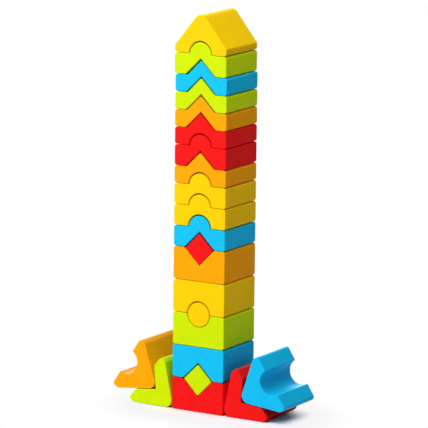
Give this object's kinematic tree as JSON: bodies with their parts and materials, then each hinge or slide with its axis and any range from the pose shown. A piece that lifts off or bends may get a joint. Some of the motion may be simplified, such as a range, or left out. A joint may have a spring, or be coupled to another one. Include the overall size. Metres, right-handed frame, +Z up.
{
  "type": "stacking block tower",
  "caption": "Stacking tower of painted wooden blocks that lock with V and half-round ridges, grooves and loose pegs, with roof blocks leaning at its foot.",
  "frame": {"origin": "middle of the base block's underside, where the tower stands on the floor", "axes": "+X to the right and +Y to the back, seen from the front of the tower, +Z up"},
  "size_m": [0.2038, 0.061, 0.4088],
  "materials": {
    "yellow_paint": "satin",
    "orange_paint": "satin",
    "red_paint": "satin",
    "lime_paint": "satin",
    "blue_paint": "satin"
  },
  "bodies": {
    "red_base_block": {"red_base_block": "red_paint"},
    "lime_square_peg": {"lime_square_peg": "lime_paint"},
    "blue_v_cap_block": {"blue_v_cap_block": "blue_paint"},
    "lime_cradle_block": {"lime_cradle_block": "lime_paint"},
    "yellow_round_peg": {"yellow_round_peg": "yellow_paint"},
    "yellow_arch_cap_block": {"yellow_arch_cap_block": "yellow_paint"},
    "orange_v_cradle_block": {"orange_v_cradle_block": "orange_paint"},
    "red_square_peg": {"red_square_peg": "red_paint"},
    "blue_dome_block": {"blue_dome_block": "blue_paint"},
    "yellow_arch_block_lower": {"yellow_arch_block_lower": "yellow_paint"},
    "yellow_arch_block_upper": {"yellow_arch_block_upper": "yellow_paint"},
    "orange_ridge_block": {"orange_ridge_block": "orange_paint"},
    "red_dome_block": {"red_dome_block": "red_paint"},
    "red_ridge_block": {"red_ridge_block": "red_paint"},
    "orange_chevron_block": {"orange_chevron_block": "orange_paint"},
    "lime_chevron_block": {"lime_chevron_block": "lime_paint"},
    "blue_chevron_block": {"blue_chevron_block": "blue_paint"},
    "lime_dome_block": {"lime_dome_block": "lime_paint"},
    "yellow_roof_block": {"yellow_roof_block": "yellow_paint"},
    "lime_prop_block_left": {"lime_prop_block_left": "lime_paint"},
    "orange_roof_block_left": {"orange_roof_block_left": "orange_paint"},
    "red_prop_block_right": {"red_prop_block_right": "red_paint"},
    "blue_roof_block_right": {"blue_roof_block_right": "blue_paint"}
  },
  "joints": [
    {"name": "blue_v_cap_lift", "type": "slide", "parent": "red_base_block", "child": "blue_v_cap_block", "axis": [0, 0, 1], "range_m": [0, 0.03]},
    {"name": "lime_cradle_lift", "type": "slide", "parent": "blue_v_cap_block", "child": "lime_cradle_block", "axis": [0, 0, 1], "range_m": [0, 0.03]},
    {"name": "yellow_arch_cap_lift", "type": "slide", "parent": "lime_cradle_block", "child": "yellow_arch_cap_block", "axis": [0, 0, 1], "range_m": [0, 0.03]},
    {"name": "orange_v_cradle_lift", "type": "slide", "parent": "yellow_arch_cap_block", "child": "orange_v_cradle_block", "axis": [0, 0, 1], "range_m": [0, 0.03]},
    {"name": "blue_dome_lift", "type": "slide", "parent": "orange_v_cradle_block", "child": "blue_dome_block", "axis": [0, 0, 1], "range_m": [0, 0.03]},
    {"name": "yellow_arch_lower_lift", "type": "slide", "parent": "blue_dome_block", "child": "yellow_arch_block_lower", "axis": [0, 0, 1], "range_m": [0, 0.03]},
    {"name": "yellow_arch_upper_lift", "type": "slide", "parent": "yellow_arch_block_lower", "child": "yellow_arch_block_upper", "axis": [0, 0, 1], "range_m": [0, 0.03]},
    {"name": "orange_ridge_lift", "type": "slide", "parent": "yellow_arch_block_upper", "child": "orange_ridge_block", "axis": [0, 0, 1], "range_m": [0, 0.03]},
    {"name": "red_dome_lift", "type": "slide", "parent": "orange_ridge_block", "child": "red_dome_block", "axis": [0, 0, 1], "range_m": [0, 0.03]},
    {"name": "red_ridge_lift", "type": "slide", "parent": "red_dome_block", "child": "red_ridge_block", "axis": [0, 0, 1], "range_m": [0, 0.03]},
    {"name": "orange_chevron_lift", "type": "slide", "parent": "red_ridge_block", "child": "orange_chevron_block", "axis": [0, 0, 1], "range_m": [0, 0.03]},
    {"name": "lime_chevron_lift", "type": "slide", "parent": "orange_chevron_block", "child": "lime_chevron_block", "axis": [0, 0, 1], "range_m": [0, 0.03]},
    {"name": "blue_chevron_lift", "type": "slide", "parent": "lime_chevron_block", "child": "blue_chevron_block", "axis": [0, 0, 1], "range_m": [0, 0.03]},
    {"name": "lime_dome_lift", "type": "slide", "parent": "blue_chevron_block", "child": "lime_dome_block", "axis": [0, 0, 1], "range_m": [0, 0.03]},
    {"name": "yellow_roof_lift", "type": "slide", "parent": "lime_dome_block", "child": "yellow_roof_block", "axis": [0, 0, 1], "range_m": [0, 0.03]},
    {"name": "lime_square_peg_slide", "type": "slide", "parent": "red_base_block", "child": "lime_square_peg", "axis": [0, 1, 0], "range_m": [-0.061, 0.061]},
    {"name": "yellow_round_peg_slide", "type": "slide", "parent": "lime_cradle_block", "child": "yellow_round_peg", "axis": [0, 1, 0], "range_m": [-0.061, 0.061]},
    {"name": "red_square_peg_slide", "type": "slide", "parent": "orange_v_cradle_block", "child": "red_square_peg", "axis": [0, 1, 0], "range_m": [-0.061, 0.061]},
    {"name": "lime_prop_left_push", "type": "slide", "parent": "red_base_block", "child": "lime_prop_block_left", "axis": [-1, 0, 0], "range_m": [0, 0.1]},
    {"name": "orange_roof_left_lift", "type": "slide", "parent": "lime_prop_block_left", "child": "orange_roof_block_left", "axis": [-0.7771, 0, 0.6293], "range_m": [0, 0.05]},
    {"name": "red_prop_right_push", "type": "slide", "parent": "red_base_block", "child": "red_prop_block_right", "axis": [1, 0, 0], "range_m": [0, 0.1]},
    {"name": "blue_roof_right_lift", "type": "slide", "parent": "red_prop_block_right", "child": "blue_roof_block_right", "axis": [0.7771, 0, 0.6293], "range_m": [0, 0.05]}
  ]
}
